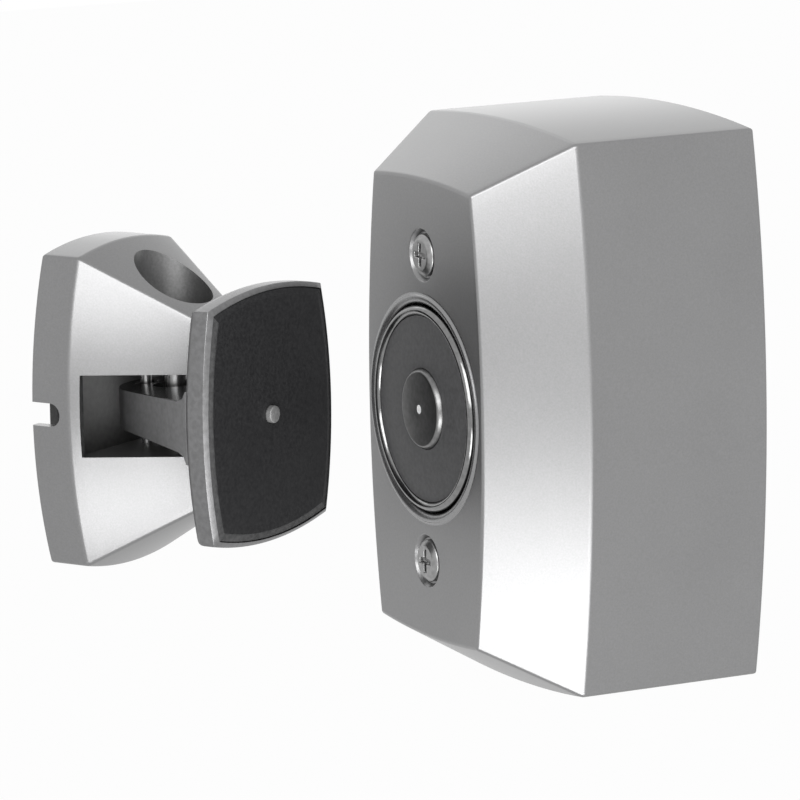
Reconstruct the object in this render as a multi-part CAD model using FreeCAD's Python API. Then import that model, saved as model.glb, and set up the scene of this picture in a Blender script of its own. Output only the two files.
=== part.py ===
import FreeCAD, Part
import math
import os

# Electromagnetic door holder: the magnet unit for the wall and the catch
# plate unit for the door.  Millimetres, +Z up.  The origin is the middle of
# the magnet unit's wall face and the magnet looks along -Y.

# Magnet housing: a deep box with bowed sides and four sloping front facets.
housing_w = 65.0            # between the corners of the box outline
housing_h = 116.9
housing_side_bow = 5.1
housing_top_bow = 1.88
housing_box_depth = 42.4
housing_facet_depth = 19.4
front_w = 43.5
front_h = 95.9
front_side_bow = 4.0
front_top_bow = 1.2
housing_wall = 2.6
housing_front_wall = 3.2

# Raised collar of the housing round the magnet.
collar_base_r = 25.0
collar_top_r = 24.0
collar_bore_r = 22.3
collar_lip = 1.1
collar_lip_drop = 0.5
collar_height = 0.5

# Magnet: cup, core and coil.
magnet_gap = 0.3            # between the cup and the collar's bore
cup_wall = 2.1
cup_back = 5.0
cup_length = 36.0
cup_rim_height = 0.95       # in front of the housing's face
cup_rim_land = 0.4
cup_rim_drop = 0.9          # outer slope of the rim
cup_rim_slope = 0.85        # inner slope of the rim
core_r = 8.6
core_chamfer = 0.7
core_chamfer_drop = 0.6
core_face_height = 1.25
core_dimple_r = 1.1
core_dimple_depth = 0.5
bobbin_wall = 1.2
bobbin_fit = 0.1
winding_fit = 0.1
winding_build = 9.0
coil_cover_thickness = 3.0
coil_cover_height = 0.1     # in front of the housing's face
coil_cover_fit = 0.1

# Cover screws, their recesses, bosses and posts.
cover_screw_z = 32.8
recess_r = 4.9              # at its floor, widening by the lip
recess_depth = 1.2
recess_lip = 0.8
boss_r = 7.2
boss_length = 8.0
screw_r = 2.0
screw_clearance = 0.3
screw_head_r = 4.5
screw_head_h = 1.7
screw_head_edge = 0.8
screw_engagement = 9.0
cross_width = 1.15
cross_span = 5.0
cross_depth = 1.2
post_r = 4.5

# Wall plate with its holes for a single-gang box.
wall_plate_t = 2.0
wall_plate_gap = 0.5
box_screw_spacing = 83.3
box_screw_hole_r = 2.4
wire_hole_r = 6.0
wire_hole_z = 20.8

# Bracket that carries the magnet on the wall plate.
bracket_t = 2.5
bracket_w = 34.0
bracket_h = 26.0
bracket_foot = 9.0
rivet_r = 1.6
rivet_head_r = 2.8
rivet_head_h = 1.1
core_screw_r = 3.0
core_screw_head_r = 5.2
core_screw_head_h = 3.6
core_screw_engagement = 12.0
lock_washer_t = 1.4
lock_washer_r = 5.0
lock_washer_gap = 1.2

# Terminal block on the wall plate.
terminal_w = 18.0
terminal_h = 10.0
terminal_d = 12.0
terminal_z = -20.5
terminal_pitch = 10.4
terminal_waist = 4.4
terminal_screw_r = 2.1
terminal_screw_slot = 0.7
terminal_entry_r = 1.6
terminal_fixing_r = 1.2
terminal_fixing_head_r = 2.0

# Place of the catch plate unit beside the magnet unit, as the pair is shown.
unit_x = -51.7
unit_y = -115.0
unit_turn = 120.0           # about +Z, from the magnet's own direction

# Base casting: bowed flange, four sloping facets and a forked neck.
flange_w = 34.0
flange_h = 66.2
flange_side_bow = 5.3
flange_top_bow = 2.0
flange_depth = 9.6
neck_w = 13.7
neck_h = 39.1
neck_side_bow = 1.6
neck_top_bow = 0.9
neck_depth = 24.3
base_wall = 2.6
base_cavity_depth = 10.2
fork_gap = 17.6             # height of the slot for the catch plate's tail
fork_start = 11.7
fork_web = 3.2
pivot_depth = 21.9          # pivot axis in front of the door face
access_bore_r = 8.3
side_notch_h = 5.0
side_notch_depth = 7.3

# Door plate behind the base.
door_plate_w = 31.4
door_plate_h = 52.0
door_plate_t = 2.0
door_plate_corner = 4.0
door_screw_spacing = 36.0
door_screw_hole_r = 2.6
door_tab_w = 14.0
door_tab_reach = 7.0
door_tab_gap = 0.1
set_screw_r = 2.0
set_screw_socket_af = 2.0
set_screw_socket_depth = 2.0
set_screw_proud = 0.3

# Pivot: shoulder screw, two sleeves and the swivel ball.
pivot_r = 1.9
pivot_head_r = 4.0
pivot_head_h = 3.0
pivot_socket_af = 3.0
pivot_socket_depth = 1.8
pivot_fit = 0.05
sleeve_r = 2.4
ball_r = 5.0
ball_h = 8.4
ball_flats = 4
ball_fit = 0.05
limit_pin_r = 1.2
limit_pin_back = 7.8        # behind the pivot axis
limit_pin_embed = 2.6
swivel_range = 10.0
tilt_range = 3.0
limit_clearance = 0.2

# Catch plate: carrier with its tail, black face plate and release pin.
plate_w = 42.3
plate_h = 49.6
plate_side_bow = 2.9
plate_top_bow = 2.5
plate_back_depth = 41.2     # back of the carrier in front of the door face
plate_t = 4.1
plate_chamfer = 0.8
plate_chamfer_inset = 1.0
plate_back_round = 2.0
plate_tilt = 0.2            # the face looks up a little, as it came to rest
face_recess = 3.0
face_gap = 0.1
face_bevel = 0.3
tail_end_r = 12.2
tail_end_h = 9.4
tail_root_h = 11.2
tail_root_w = 44.8
tail_flare = 2.2            # thickening of the tail where it meets the plate
tail_flare_run = 3.0
face_screw_z = 16.0
face_screw_r = 1.5
face_screw_head_r = 2.7
face_screw_engagement = 2.2
pin_r = 1.85
pin_proud = 1.1
pin_collar_r = 2.6
pin_collar_t = 1.5
pin_bore_r = 2.8
pin_bore_depth = 9.0
pin_guide_fit = 0.08
pin_travel = 1.0
spring_wire = 0.6

depth = housing_box_depth + housing_facet_depth
tiny = 0.01


def vec(x, y, z):
    return FreeCAD.Vector(x, y, z)


def bowed_wire(w, h, side, top, y):
    # Outline in the plane y: four corners joined by four outward arcs.
    a = vec(-w / 2, y, -h / 2)
    b = vec(w / 2, y, -h / 2)
    c = vec(w / 2, y, h / 2)
    d = vec(-w / 2, y, h / 2)
    bottom = Part.Arc(a, vec(0, y, -h / 2 - top), b).toShape()
    right = Part.Arc(b, vec(w / 2 + side, y, 0), c).toShape()
    upper = Part.Arc(c, vec(0, y, h / 2 + top), d).toShape()
    left = Part.Arc(d, vec(-w / 2 - side, y, 0), a).toShape()
    return Part.Wire([bottom, right, upper, left])


def prism(wire, length):
    # Solid from an outline, towards the front (-Y) for a positive length.
    return Part.Face(wire).extrude(vec(0, -length, 0))


def loft(back, front):
    return Part.makeLoft([back, front], True, True)


def rod(r, y_back, y_front, x=0.0, z=0.0):
    # Round bar along Y, from y_back towards the front.
    return Part.makeCylinder(r, y_back - y_front, vec(x, y_back, z), vec(0, -1, 0))


def cone(r_back, r_front, y_back, y_front, x=0.0, z=0.0):
    return Part.makeCone(r_back, r_front, y_back - y_front, vec(x, y_back, z), vec(0, -1, 0))


def post(r, z_low, z_high, y, x=0.0):
    # Round bar along Z.
    return Part.makeCylinder(r, z_high - z_low, vec(x, y, z_low))


def block(x0, x1, y_back, y_front, z0, z1):
    return Part.makeBox(x1 - x0, y_back - y_front, z1 - z0, vec(x0, y_front, z0))


def hexagon(af, y_back, y_front, x=0.0, z=0.0):
    points = []
    for k in range(7):
        a = math.radians(60 * k + 30)
        r = af / math.sqrt(3)
        points.append(vec(x + r * math.cos(a), y_back, z + r * math.sin(a)))
    return Part.Face(Part.makePolygon(points)).extrude(vec(0, y_front - y_back, 0))


def revolve(profile):
    # Closed profile of (radius, y) pairs turned about the Y axis.
    points = [vec(r, y, 0) for r, y in profile]
    points.append(points[0])
    face = Part.Face(Part.makePolygon(points))
    return face.revolve(vec(0, 0, 0), vec(0, 1, 0), 360)


def housing_outline(inset, y):
    return bowed_wire(housing_w - 2 * inset, housing_h - 2 * inset,
                      housing_side_bow, housing_top_bow, y)


def front_outline(inset, y):
    return bowed_wire(front_w - 2 * inset, front_h - 2 * inset,
                      front_side_bow, front_top_bow, y)


def make_magnet_housing():
    box = prism(housing_outline(0, 0), housing_box_depth)
    facets = loft(housing_outline(0, -housing_box_depth), front_outline(0, -depth))
    body = box.fuse(facets)
    room = prism(housing_outline(housing_wall, 1), housing_box_depth + 1)
    nose = loft(housing_outline(housing_wall, -housing_box_depth),
                front_outline(housing_wall, housing_front_wall - depth))
    body = body.cut(room.fuse(nose))
    collar = rod(collar_base_r, housing_front_wall - depth, -depth)
    slope = cone(collar_base_r, collar_top_r, -depth, -depth - collar_height)
    body = body.fuse(collar.fuse(slope))
    for side in (-1, 1):
        z = side * cover_screw_z
        boss = rod(boss_r, boss_length + recess_depth - depth, housing_front_wall - depth, 0, z)
        body = body.fuse(boss)
    bore = rod(collar_bore_r, 2 - depth + housing_front_wall, -depth - collar_height - 1)
    lip = cone(collar_bore_r, collar_bore_r + collar_lip,
               collar_lip_drop - depth - collar_height, -depth - collar_height)
    body = body.cut(bore.fuse(lip))
    for side in (-1, 1):
        z = side * cover_screw_z
        dish = cone(recess_r, recess_r + recess_lip, recess_depth - depth, -depth, 0, z)
        hole = rod(screw_r + screw_clearance, 1 - depth + recess_depth + boss_length,
                   -depth, 0, z)
        body = body.cut(dish)
        body = body.cut(hole)
    return body.removeSplitter()


def cover_screw(z):
    floor = recess_depth - depth
    face = floor - screw_head_h
    edge = face + screw_head_edge
    head = rod(screw_head_r, floor, edge, 0, z)
    dome = cone(screw_head_r, screw_head_r - 1.4 * screw_head_edge, edge, face, 0, z)
    head = head.fuse(dome)
    shank = rod(screw_r, floor + boss_length + screw_engagement, floor - tiny, 0, z)
    half = cross_span / 2
    arm = cross_width / 2
    bar = block(-half, half, face + cross_depth, face - 1, z - arm, z + arm)
    cross = bar.fuse(block(-arm, arm, face + cross_depth, face - 1, z - half, z + half))
    return head.fuse(shank).cut(cross).removeSplitter()


def make_cover_screws():
    return Part.makeCompound([cover_screw(cover_screw_z), cover_screw(-cover_screw_z)])


def cover_post(z):
    front = boss_length + recess_depth - depth
    body = rod(post_r, -wall_plate_t, front, 0, z)
    bore = rod(screw_r + tiny * 3, front + screw_engagement + 2, front - 1, 0, z)
    return body.cut(bore)


def make_cover_posts():
    return Part.makeCompound([cover_post(cover_screw_z), cover_post(-cover_screw_z)])


def rivet_points():
    x = bracket_w / 2 + bracket_foot / 2
    return [(-x, 0), (x, 0)]


def make_wall_plate():
    plate = prism(housing_outline(housing_wall + wall_plate_gap, 0), wall_plate_t)
    plate = plate.cut(rod(wire_hole_r, 1, -wall_plate_t - 1, 0, wire_hole_z))
    for side in (-1, 1):
        hole = rod(box_screw_hole_r, 1, -wall_plate_t - 1, 0, side * box_screw_spacing / 2)
        plate = plate.cut(hole)
    plate = plate.cut(rod(terminal_fixing_r, 1, -wall_plate_t - 1, 0, terminal_z))
    for x, z in rivet_points():
        plate = plate.cut(rod(rivet_r, 1, -wall_plate_t - 1, x, z))
    return plate


def cup_back_y():
    return cup_length - depth - cup_rim_height


def make_magnet_bracket():
    back = -wall_plate_t
    front = cup_back_y()
    half = bracket_w / 2
    low = -bracket_h / 2
    high = bracket_h / 2
    outer = block(-half, half, back, front, low, high)
    inner = block(-half + bracket_t, half - bracket_t, back + 1, front + bracket_t,
                  low - 1, high + 1)
    feet = block(-half - bracket_foot, half + bracket_foot, back, back - bracket_t, low, high)
    slot = block(-half + bracket_t, half - bracket_t, back + 1, back - bracket_t - 1,
                 low - 1, high + 1)
    body = outer.cut(inner).fuse(feet.cut(slot))
    body = body.cut(rod(core_screw_r + 0.2, front + bracket_t + 1, front - 1))
    for x, z in rivet_points():
        body = body.cut(rod(rivet_r, 1, back - bracket_t - 1, x, z))
    return body.removeSplitter()


def make_bracket_rivets():
    rivets = []
    for x, z in rivet_points():
        front = -wall_plate_t - bracket_t
        shank = rod(rivet_r, 0, front - tiny, x, z)
        head = cone(rivet_head_r, rivet_head_r * 0.6, front, front - rivet_head_h, x, z)
        rivets.append(shank.fuse(head).removeSplitter())
    return Part.makeCompound(rivets)


def cup_r():
    return collar_bore_r - magnet_gap


def make_magnet_cup():
    back = cup_back_y()
    front = back - cup_length
    outer = cup_r()
    inner = outer - cup_wall
    land = outer - cup_rim_drop
    profile = [(core_screw_r + 0.2, back), (outer, back), (outer, front + cup_rim_drop),
               (land, front), (land - cup_rim_land, front),
               (inner, front + cup_rim_slope), (inner, back - cup_back),
               (core_screw_r + 0.2, back - cup_back)]
    return revolve(profile)


def make_magnet_core():
    back = cup_back_y() - cup_back
    front = -depth - core_face_height
    depth_bore = back - core_screw_engagement + cup_back + bracket_t
    profile = [(core_screw_r, back), (core_r, back), (core_r, front + core_chamfer_drop),
               (core_r - core_chamfer, front), (core_dimple_r, front),
               (0, front + core_dimple_depth), (0, depth_bore), (core_screw_r, depth_bore)]
    return revolve(profile)


def coil_back():
    return cup_back_y() - cup_back


def coil_front():
    return -depth - coil_cover_height + coil_cover_thickness


def make_coil_bobbin():
    inner = core_r + bobbin_fit
    outer = cup_r() - cup_wall - bobbin_fit
    back = coil_back()
    front = coil_front()
    sleeve = inner + bobbin_wall
    profile = [(inner, back), (outer, back), (outer, back - bobbin_wall),
               (sleeve, back - bobbin_wall), (sleeve, front + bobbin_wall),
               (outer, front + bobbin_wall), (outer, front), (inner, front)]
    return revolve(profile)


def make_coil_winding():
    inner = core_r + bobbin_fit + bobbin_wall + winding_fit
    outer = inner + winding_build
    back = coil_back() - bobbin_wall - winding_fit
    front = coil_front() + bobbin_wall + winding_fit
    return revolve([(inner, back), (outer, back), (outer, front), (inner, front)])


def make_coil_cover():
    inner = core_r + coil_cover_fit
    outer = cup_r() - cup_wall - coil_cover_fit
    back = coil_front()
    front = back - coil_cover_thickness
    return revolve([(inner, back), (outer, back), (outer, front), (inner, front)])


def make_core_screw():
    seat = cup_back_y() + bracket_t + lock_washer_t
    head = hexagon(core_screw_head_r * math.sqrt(3), seat + core_screw_head_h, seat)
    shank = rod(core_screw_r - tiny * 3, seat + tiny, seat - lock_washer_t - core_screw_engagement)
    return head.fuse(shank)


def make_core_lock_washer():
    back = cup_back_y() + bracket_t + lock_washer_t
    ring = rod(lock_washer_r, back, back - lock_washer_t)
    ring = ring.cut(rod(core_screw_r + 0.1, back + 1, back - lock_washer_t - 1))
    split = block(0, lock_washer_r + 1, back + 1, back - lock_washer_t - 1,
                  -lock_washer_gap / 2, lock_washer_gap / 2)
    return ring.cut(split)


def terminal_ways():
    return (-terminal_pitch / 2, terminal_pitch / 2)


def make_terminal_block():
    back = -wall_plate_t
    front = back - terminal_d
    low = terminal_z - terminal_h / 2
    high = terminal_z + terminal_h / 2
    body = block(-terminal_w / 2, terminal_w / 2, back, front, low, high)
    waist = block(-terminal_waist / 2, terminal_waist / 2, back - 3, front - 1, low - 1, high + 1)
    fixing = rod(terminal_fixing_r + 0.1, back + 1, front, 0, terminal_z)
    body = body.cut(waist.fuse(fixing))
    for x in terminal_ways():
        well = rod(terminal_screw_r + 0.15, front + 6, front - 1, x, terminal_z)
        entry = Part.makeCylinder(terminal_entry_r, terminal_h + 2,
                                  vec(x, back - 4, low - 1))
        body = body.cut(well.fuse(entry))
    return body.removeSplitter()


def make_terminal_screws():
    front = -wall_plate_t - terminal_d
    screws = []
    for x in terminal_ways():
        screw = rod(terminal_screw_r, front + 6, front + 1, x, terminal_z)
        slot = block(x - 3, x + 3, front + 1.8, front,
                     terminal_z - terminal_screw_slot / 2, terminal_z + terminal_screw_slot / 2)
        screws.append(screw.cut(slot))
    return Part.makeCompound(screws)


def make_terminal_fixing():
    seat = -wall_plate_t - 3
    shank = rod(terminal_fixing_r, 0, seat - tiny, 0, terminal_z)
    head = cone(terminal_fixing_head_r, terminal_fixing_head_r * 0.6, seat, seat - 1,
                0, terminal_z)
    return shank.fuse(head).removeSplitter()


# The catch plate unit is modelled square to its own door face at the origin,
# with its front towards -Y, and is then turned and moved to its place.

def in_place(shape):
    placed = shape.copy()
    placed.rotate(vec(0, 0, 0), vec(0, 0, 1), unit_turn)
    placed.translate(vec(unit_x, unit_y, 0))
    return placed


def tilted(shape):
    # The catch plate and what rides with it, turned about the swivel ball.
    leaning = shape.copy()
    leaning.rotate(vec(0, -pivot_depth, 0), vec(1, 0, 0), -plate_tilt)
    return in_place(leaning)


def neck_front():
    return -flange_depth - neck_depth


def web_outside():
    return fork_gap / 2 + fork_web


def make_catch_base():
    flange = prism(bowed_wire(flange_w, flange_h, flange_side_bow, flange_top_bow, 0),
                   flange_depth)
    facets = loft(bowed_wire(flange_w, flange_h, flange_side_bow, flange_top_bow,
                             -flange_depth),
                  bowed_wire(neck_w, neck_h, neck_side_bow, neck_top_bow, neck_front()))
    body = flange.fuse(facets)
    cavity = prism(bowed_wire(flange_w - 2 * base_wall, flange_h - 2 * base_wall,
                              flange_side_bow, flange_top_bow, 1), base_cavity_depth + 1)
    body = body.cut(cavity)
    fork = block(-flange_w, flange_w, -fork_start, neck_front() - 1,
                 -fork_gap / 2, fork_gap / 2)
    inner_w = flange_w / 2 + flange_side_bow - base_wall
    inner = block(-inner_w, inner_w, -base_cavity_depth + 1, -fork_start - 1,
                  -fork_gap / 2, fork_gap / 2)
    body = body.cut(fork.fuse(inner))
    access = post(access_bore_r, web_outside(), flange_h, -pivot_depth)
    body = body.cut(access)
    pivot_hole = post(pivot_r + pivot_fit, -web_outside() - 6, flange_h, -pivot_depth)
    limit_hole = post(limit_pin_r, -fork_gap / 2 - limit_pin_embed,
                      fork_gap / 2 + limit_pin_embed, limit_pin_back - pivot_depth)
    body = body.cut(pivot_hole.fuse(limit_hole))
    half = side_notch_h / 2
    end = side_notch_depth - half
    notch = block(-flange_w, 0, 1, -end, -half, half)
    notch = notch.fuse(Part.makeCylinder(half, flange_w, vec(-flange_w, -end, 0), vec(1, 0, 0)))
    body = body.cut(notch)
    screw = post(set_screw_r, -flange_h, 0, -set_screw_y())
    body = body.cut(screw)
    return body.removeSplitter()


def set_screw_y():
    return door_plate_t + door_tab_reach / 2


def tab_z():
    # Outer face of the door plate's tabs, just inside the flange.
    return flange_h / 2 - base_wall - door_tab_gap


def make_door_plate():
    w = door_plate_w
    h = door_plate_h
    plate = block(-w / 2, w / 2, 0, -door_plate_t, -h / 2, h / 2)
    edges = [e for e in plate.Edges if abs(e.tangentAt(e.FirstParameter).y) > 0.9]
    plate = plate.makeFillet(door_plate_corner, edges)
    top = tab_z()
    for side in (-1, 1):
        z0 = min(side * top, side * (h / 2 - 1))
        z1 = max(side * top, side * (h / 2 - 1))
        tongue = block(-door_tab_w / 2, door_tab_w / 2, 0, -door_plate_t, z0, z1)
        z0 = min(side * top, side * (top - door_plate_t))
        z1 = max(side * top, side * (top - door_plate_t))
        tab = block(-door_tab_w / 2, door_tab_w / 2, 0, -door_plate_t - door_tab_reach, z0, z1)
        plate = plate.fuse(tongue.fuse(tab))
        hole = rod(door_screw_hole_r, 1, -door_plate_t - 1, 0, side * door_screw_spacing / 2)
        plate = plate.cut(hole)
    plate = plate.cut(post(set_screw_r, -flange_h, 0, -set_screw_y()))
    return plate.removeSplitter()


def make_base_set_screw():
    low = -flange_h / 2 - flange_top_bow + set_screw_proud
    high = -tab_z() + door_plate_t
    screw = post(set_screw_r, low, high, -set_screw_y())
    socket = hexagon(set_screw_socket_af, 0, -set_screw_socket_depth)
    socket.rotate(vec(0, 0, 0), vec(1, 0, 0), -90)
    socket.translate(vec(0, -set_screw_y(), low))
    return screw.cut(socket)


def make_pivot_screw():
    top = web_outside()
    shank = post(pivot_r, -top, top + tiny, -pivot_depth)
    head = post(pivot_head_r, top, top + pivot_head_h, -pivot_depth)
    socket = hexagon(pivot_socket_af, 0, -pivot_socket_depth)
    socket.rotate(vec(0, 0, 0), vec(1, 0, 0), 90)
    socket.translate(vec(0, -pivot_depth, top + pivot_head_h))
    return shank.fuse(head).cut(socket).removeSplitter()


def make_pivot_sleeves():
    sleeves = []
    for side in (-1, 1):
        z0 = min(side * ball_h / 2, side * fork_gap / 2)
        z1 = max(side * ball_h / 2, side * fork_gap / 2)
        sleeve = post(sleeve_r, z0, z1, -pivot_depth)
        sleeves.append(sleeve.cut(post(pivot_r + tiny, z0 - 1, z1 + 1, -pivot_depth)))
    return Part.makeCompound(sleeves)


def make_swivel_ball():
    centre = vec(0, -pivot_depth, 0)
    # Turned profile of short flats that stay inside the ball's radius.
    edge = math.asin(ball_h / 2 / ball_r)
    points = [vec(pivot_r + pivot_fit, 0, -ball_h / 2)]
    for k in range(ball_flats + 1):
        a = edge * (2 * k / ball_flats - 1)
        points.append(vec(ball_r * math.cos(a), 0, ball_r * math.sin(a)))
    points.append(vec(pivot_r + pivot_fit, 0, ball_h / 2))
    points.append(points[0])
    face = Part.Face(Part.makePolygon(points))
    ball = face.revolve(vec(0, 0, 0), vec(0, 0, 1), 360)
    ball.translate(centre)
    return ball


def make_limit_pin():
    reach = fork_gap / 2 + limit_pin_embed
    return post(limit_pin_r, -reach, reach, limit_pin_back - pivot_depth)


def plate_outline(inset, y):
    return bowed_wire(plate_w - 2 * inset, plate_h - 2 * inset,
                      plate_side_bow, plate_top_bow, y)


def tail_section(y, w, h):
    return Part.makePolygon([vec(-w / 2, y, -h / 2), vec(w / 2, y, -h / 2),
                             vec(w / 2, y, h / 2), vec(-w / 2, y, h / 2),
                             vec(-w / 2, y, -h / 2)])


def tail_height(y):
    # The tail thickens evenly from the pivot to the plate.
    share = (-y - pivot_depth) / (plate_back_depth - pivot_depth)
    return tail_end_h + (tail_root_h - tail_end_h) * share


def make_tail():
    # Plan outline: round about the pivot, with sides that run on at a tangent
    # and flare to the edges of the plate.
    run = plate_back_depth - pivot_depth
    half = tail_root_w / 2
    turn = math.atan2(run, half) - math.acos(tail_end_r / math.hypot(run, half))
    touch_x = tail_end_r * math.cos(turn)
    touch_y = -pivot_depth - tail_end_r * math.sin(turn)
    a = vec(-touch_x, touch_y, -tail_root_h)
    b = vec(touch_x, touch_y, -tail_root_h)
    c = vec(half, -plate_back_depth, -tail_root_h)
    d = vec(-half, -plate_back_depth, -tail_root_h)
    end = vec(0, tail_end_r - pivot_depth, -tail_root_h)
    wire = Part.Wire([Part.Arc(a, end, b).toShape(), Part.LineSegment(b, c).toShape(),
                      Part.LineSegment(c, d).toShape(), Part.LineSegment(d, a).toShape()])
    plan = Part.Face(wire).extrude(vec(0, 0, 2 * tail_root_h))
    y0 = tail_end_r - pivot_depth + 1
    y1 = -plate_back_depth
    wedge = loft(tail_section(y0, 2 * plate_w, tail_height(y0)),
                 tail_section(y1, 2 * plate_w, tail_height(y1)))
    y2 = y1 + tail_flare_run
    y3 = y1 + tail_flare_run / 3
    flare = loft(tail_section(y2, 2 * plate_w, tail_height(y2)),
                 tail_section(y3, 2 * plate_w, tail_height(y3) + tail_flare * 0.6))
    foot = loft(tail_section(y3, 2 * plate_w, tail_height(y3) + tail_flare * 0.6),
                tail_section(y1, 2 * plate_w, tail_height(y1) + tail_flare * 2))
    tail = plan.common(wedge.fuse(flare).fuse(foot))
    root = block(-half, half, -plate_back_depth, -plate_back_depth - 1,
                 -tail_root_h / 2, tail_root_h / 2)
    return tail.fuse(root)


def make_catch_carrier():
    back = -plate_back_depth
    front = back - plate_t
    slab = prism(plate_outline(0, back - plate_back_round), plate_t - plate_back_round)
    for k in range(3):
        a = math.radians(30 * k)
        b = math.radians(30 * (k + 1))
        slab = slab.fuse(loft(plate_outline(plate_back_round * (1 - math.sin(a)),
                                            back - plate_back_round * (1 - math.cos(a))),
                              plate_outline(plate_back_round * (1 - math.sin(b)),
                                            back - plate_back_round * (1 - math.cos(b)))))
    bevel = loft(plate_outline(0, front), plate_outline(plate_chamfer_inset,
                                                        front - plate_chamfer))
    body = slab.fuse(bevel).fuse(make_tail())
    recess = prism(plate_outline(plate_chamfer_inset, front - plate_chamfer + face_recess),
                   face_recess + 1)
    body = body.cut(recess)
    seat = post(ball_r + ball_fit, -plate_h, plate_h, -pivot_depth)
    body = body.cut(seat)
    swing = math.radians(swivel_range)
    room = limit_pin_r + limit_clearance
    half = limit_pin_back * math.sin(swing) + room
    y = limit_pin_back - pivot_depth
    drop = math.tan(math.radians(tilt_range + plate_tilt)) * tail_end_h / 2
    slot = block(-half + room, half - room, y + room + drop, y - room - drop, -plate_h, plate_h)
    for side in (-1, 1):
        slot = slot.fuse(post(room + drop, -plate_h, plate_h, y, side * (half - room)))
    body = body.cut(slot)
    bore = rod(pin_bore_r, front - plate_chamfer + pin_bore_depth, front - 1)
    body = body.cut(bore)
    for side in (-1, 1):
        hole = rod(face_screw_r + 0.1, back + 1, front, 0, side * face_screw_z)
        body = body.cut(hole)
    return body.removeSplitter()


def face_back():
    return -plate_back_depth - plate_t - plate_chamfer + face_recess


def face_front():
    return -plate_back_depth - plate_t - plate_chamfer


def make_face_plate():
    inset = plate_chamfer_inset + face_gap
    back = face_back()
    front = face_front()
    slab = prism(plate_outline(inset, back), face_recess - face_bevel)
    bevel = loft(plate_outline(inset, front + face_bevel),
                 plate_outline(inset + face_bevel, front))
    plate = slab.fuse(bevel)
    plate = plate.cut(rod(pin_r + pin_guide_fit, back + 1, front - 1))
    for side in (-1, 1):
        plate = plate.cut(rod(face_screw_r, back + 1, back - face_screw_engagement,
                              0, side * face_screw_z))
    return plate.removeSplitter()


def make_face_screws():
    screws = []
    back = -plate_back_depth
    for side in (-1, 1):
        z = side * face_screw_z
        head = cone(face_screw_head_r * 0.75, face_screw_head_r, back + 1.6, back, 0, z)
        shank = rod(face_screw_r, back, face_back() - face_screw_engagement, 0, z)
        slot = block(-3, 3, back + 2, back + 0.8, z - 0.4, z + 0.4)
        screws.append(head.fuse(shank).cut(slot).removeSplitter())
    return Part.makeCompound(screws)


def make_release_pin():
    collar_front = face_back()
    collar_back = collar_front + pin_collar_t
    front = face_front() - pin_proud
    tip = 0.35
    stem = rod(pin_r, collar_front, front + tip)
    end = cone(pin_r, pin_r - tip, front + tip, front)
    collar = rod(pin_collar_r, collar_back, collar_front)
    tail = rod(pin_r - spring_wire - 0.1, collar_back + 1.5, collar_back)
    return stem.fuse(end).fuse(collar).fuse(tail).removeSplitter()


def make_release_spring():
    back = face_front() + pin_bore_depth
    front = face_back() + pin_collar_t + pin_travel
    outer = pin_collar_r
    ring = rod(outer, back, front)
    return ring.cut(rod(outer - spring_wire, back + 1, front - 1))


nodes = {
    "magnet_housing": make_magnet_housing(),
    "cover_screws": make_cover_screws(),
    "cover_posts": make_cover_posts(),
    "wall_plate": make_wall_plate(),
    "magnet_bracket": make_magnet_bracket(),
    "bracket_rivets": make_bracket_rivets(),
    "magnet_cup": make_magnet_cup(),
    "magnet_core": make_magnet_core(),
    "coil_bobbin": make_coil_bobbin(),
    "coil_winding": make_coil_winding(),
    "coil_cover": make_coil_cover(),
    "core_screw": make_core_screw(),
    "core_lock_washer": make_core_lock_washer(),
    "terminal_block": make_terminal_block(),
    "terminal_screws": make_terminal_screws(),
    "terminal_fixing": make_terminal_fixing(),
    "catch_base": in_place(make_catch_base()),
    "door_plate": in_place(make_door_plate()),
    "base_set_screw": in_place(make_base_set_screw()),
    "pivot_screw": in_place(make_pivot_screw()),
    "pivot_sleeves": in_place(make_pivot_sleeves()),
    "limit_pin": in_place(make_limit_pin()),
    "swivel_ball": in_place(make_swivel_ball()),
    "catch_carrier": tilted(make_catch_carrier()),
    "face_plate": tilted(make_face_plate()),
    "face_screws": tilted(make_face_screws()),
    "release_pin": tilted(make_release_pin()),
    "release_spring": tilted(make_release_spring()),
}

os.makedirs("parts", exist_ok=True)
for name, shape in nodes.items():
    shape.exportStep("parts/" + name + ".step")
    print(name, shape.isValid(), len(shape.Solids), round(shape.Volume, 1),
          [round(v, 2) for v in (shape.BoundBox.XMin, shape.BoundBox.XMax,
                                 shape.BoundBox.YMin, shape.BoundBox.YMax,
                                 shape.BoundBox.ZMin, shape.BoundBox.ZMax)])
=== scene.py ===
import math
import bmesh
import bpy
from mathutils import Matrix, Vector


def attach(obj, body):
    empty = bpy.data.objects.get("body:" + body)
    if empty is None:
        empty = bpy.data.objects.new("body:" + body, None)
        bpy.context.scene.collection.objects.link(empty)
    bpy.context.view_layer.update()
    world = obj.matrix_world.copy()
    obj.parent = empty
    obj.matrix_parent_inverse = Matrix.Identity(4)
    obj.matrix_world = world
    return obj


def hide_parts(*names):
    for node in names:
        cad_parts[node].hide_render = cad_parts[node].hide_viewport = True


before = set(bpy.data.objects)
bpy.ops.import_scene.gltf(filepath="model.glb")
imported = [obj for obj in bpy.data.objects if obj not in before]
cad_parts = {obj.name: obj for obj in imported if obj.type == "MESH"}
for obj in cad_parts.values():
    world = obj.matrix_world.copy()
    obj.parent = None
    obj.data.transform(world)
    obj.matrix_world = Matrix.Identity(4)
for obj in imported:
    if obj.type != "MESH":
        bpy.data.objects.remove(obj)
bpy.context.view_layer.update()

# Camera.
# The pair is seen from the right and a little above, as in the photograph, by
# a long lens from 1.2 m away.
view_azimuth = math.radians(62.809)
view_height = math.radians(10.398)
view_roll = math.radians(-1.029)
view_distance = 1.225938
pair_middle = Vector((0, -0.060, 0))
aim_left = 0.00667
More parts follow.
